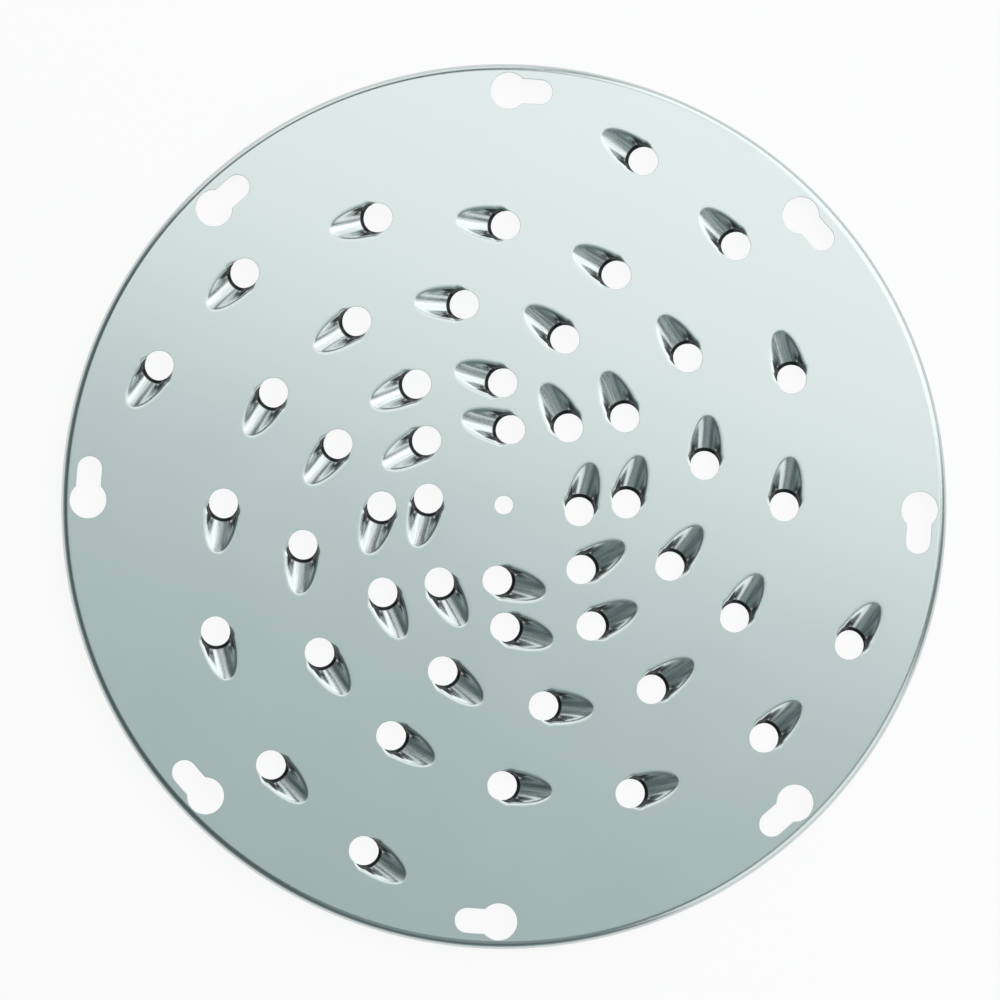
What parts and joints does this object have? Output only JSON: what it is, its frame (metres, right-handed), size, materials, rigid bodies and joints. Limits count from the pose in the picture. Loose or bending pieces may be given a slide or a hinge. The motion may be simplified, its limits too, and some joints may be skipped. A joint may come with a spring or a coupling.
{
  "type": "food processor shredding disc",
  "caption": "Round pressed-steel shredding disc with a turned-over rim, rings of pierced and scooped teeth, and keyholes round the edge that lock it onto a plate holder.",
  "frame": {"origin": "on the disc's axis, level with the tips of the teeth, which the disc rests on", "axes": "+Z is the disc's axis, from the teeth up towards the smooth face that the holder meets; +X runs to the right in the picture and +Y to its top, and a keyhole's head lies close to +X"},
  "size_m": [0.2286, 0.2286, 0.0043],
  "materials": {
    "shredding_disc": "satin"
  },
  "bodies": {
    "root": {"shredding_disc": "shredding_disc"}
  },
  "joints": []
}
